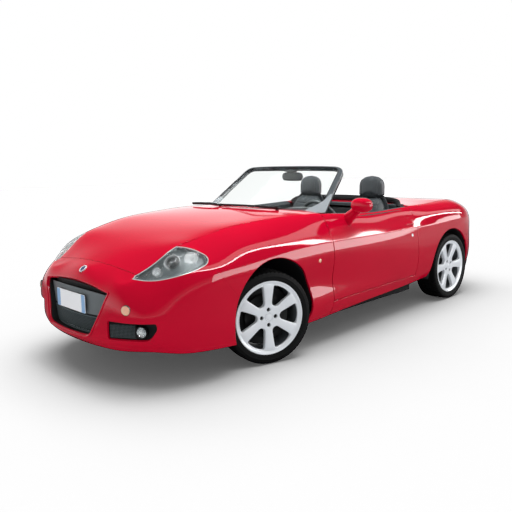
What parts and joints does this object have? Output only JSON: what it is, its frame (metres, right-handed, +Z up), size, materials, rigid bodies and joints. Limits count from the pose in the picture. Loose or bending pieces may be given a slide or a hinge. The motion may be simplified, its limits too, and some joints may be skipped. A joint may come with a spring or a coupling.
{
  "type": "convertible car",
  "caption": "Low two-seat open roadster with rounded wings, framed windscreen, hinged doors, lids, steered front wheels and freely turning wheels.",
  "frame": {"origin": "on the ground under the middle of the overall box, door mirror included; the car's centre plane is at y = -0.056 m", "axes": "+X forward, +Y to the car's left, +Z up"},
  "size_m": [3.914, 1.859, 1.24],
  "materials": {
    "body_paint": "gloss",
    "tyre": "matte",
    "rim_alloy": "satin",
    "chassis_steel": "satin",
    "lamp_clear": "gloss",
    "lamp_red": "gloss",
    "screen_glass": "gloss",
    "frame_grey": "satin",
    "seat_leather": "satin",
    "plate_white": "gloss",
    "tub_steel": "matte",
    "engine_iron": "matte",
    "exhaust_steel": "satin",
    "trim_black": "matte"
  },
  "bodies": {
    "body": {"boot_tub": "tub_steel", "console": "trim_black", "dashboard": "trim_black", "engine": "engine_iron", "exhaust": "exhaust_steel", "floor_pan": "tub_steel", "front_bumper": "body_paint", "front_frame": "tub_steel", "front_lamps": "lamp_clear", "front_subframe": "chassis_steel", "front_wing_l": "body_paint", "front_wing_r": "body_paint", "fuel_tank": "trim_black", "grille": "trim_black", "headlamps": "lamp_clear", "interior_mirror": "trim_black", "plates": "plate_white", "rear_axle": "chassis_steel", "rear_bumper": "body_paint", "rear_wing_l": "body_paint", "rear_wing_r": "body_paint", "scuttle": "body_paint", "seat_l": "seat_leather", "seat_r": "seat_leather", "steering_wheel": "trim_black", "tail_lamps": "lamp_red", "tail_panel": "body_paint", "windscreen_frame": "frame_grey", "windscreen_glass": "screen_glass", "wipers": "trim_black"},
    "bonnet": {"bonnet": "body_paint"},
    "boot_lid": {"boot_lid": "body_paint"},
    "tonneau_cover": {"tonneau_cover": "body_paint"},
    "door_l": {"door_l": "body_paint", "mirror_l": "body_paint"},
    "door_r": {"door_r": "body_paint"},
    "steer_l": {"knuckle_l": "chassis_steel"},
    "steer_r": {"knuckle_r": "chassis_steel"},
    "wheel_fl": {"rim_fl": "rim_alloy", "tyre_fl": "tyre"},
    "wheel_fr": {"rim_fr": "rim_alloy", "tyre_fr": "tyre"},
    "wheel_rl": {"rim_rl": "rim_alloy", "tyre_rl": "tyre"},
    "wheel_rr": {"rim_rr": "rim_alloy", "tyre_rr": "tyre"}
  },
  "joints": [
    {"name": "bonnet_hinge", "type": "hinge", "parent": "body", "child": "bonnet", "pos_m": [0.46, -0.056, 0.9], "axis": [0, -1, 0], "range_deg": [0, 55]},
    {"name": "boot_hinge", "type": "hinge", "parent": "body", "child": "boot_lid", "pos_m": [-1.305, -0.056, 0.9], "axis": [0, 1, 0], "range_deg": [0, 75]},
    {"name": "tonneau_hinge", "type": "hinge", "parent": "body", "child": "tonneau_cover", "pos_m": [-1.275, -0.056, 0.901], "axis": [0, -1, 0], "range_deg": [0, 60]},
    {"name": "door_l_hinge", "type": "hinge", "parent": "body", "child": "door_l", "pos_m": [0.317, 0.746, 0.5], "axis": [0, 0, -1], "range_deg": [0, 65]},
    {"name": "door_r_hinge", "type": "hinge", "parent": "body", "child": "door_r", "pos_m": [0.317, -0.858, 0.5], "axis": [0, 0, 1], "range_deg": [0, 65]},
    {"name": "steer_l", "type": "hinge", "parent": "body", "child": "steer_l", "pos_m": [0.958, 0.584, 0.297], "axis": [0, 0, 1], "range_deg": [-18, 52]},
    {"name": "steer_r", "type": "hinge", "parent": "body", "child": "steer_r", "pos_m": [0.958, -0.696, 0.297], "axis": [0, 0, 1], "range_deg": [-18, 52]},
    {"name": "spin_fl", "type": "hinge", "parent": "steer_l", "child": "wheel_fl", "pos_m": [0.97613, 0.64329, 0.297], "axis": [0.2924, 0.9563, 0], "continuous": true},
    {"name": "spin_fr", "type": "hinge", "parent": "steer_r", "child": "wheel_fr", "pos_m": [0.93987, -0.75529, 0.297], "axis": [0.2924, 0.9563, 0], "continuous": true},
    {"name": "spin_rl", "type": "hinge", "parent": "body", "child": "wheel_rl", "pos_m": [-1.317, 0.646, 0.297], "axis": [0, 1, 0], "continuous": true},
    {"name": "spin_rr", "type": "hinge", "parent": "body", "child": "wheel_rr", "pos_m": [-1.317, -0.758, 0.297], "axis": [0, 1, 0], "continuous": true}
  ],
  "couplings": [
    {"joint": "steer_r", "follows": "steer_l", "ratio": 1}
  ]
}
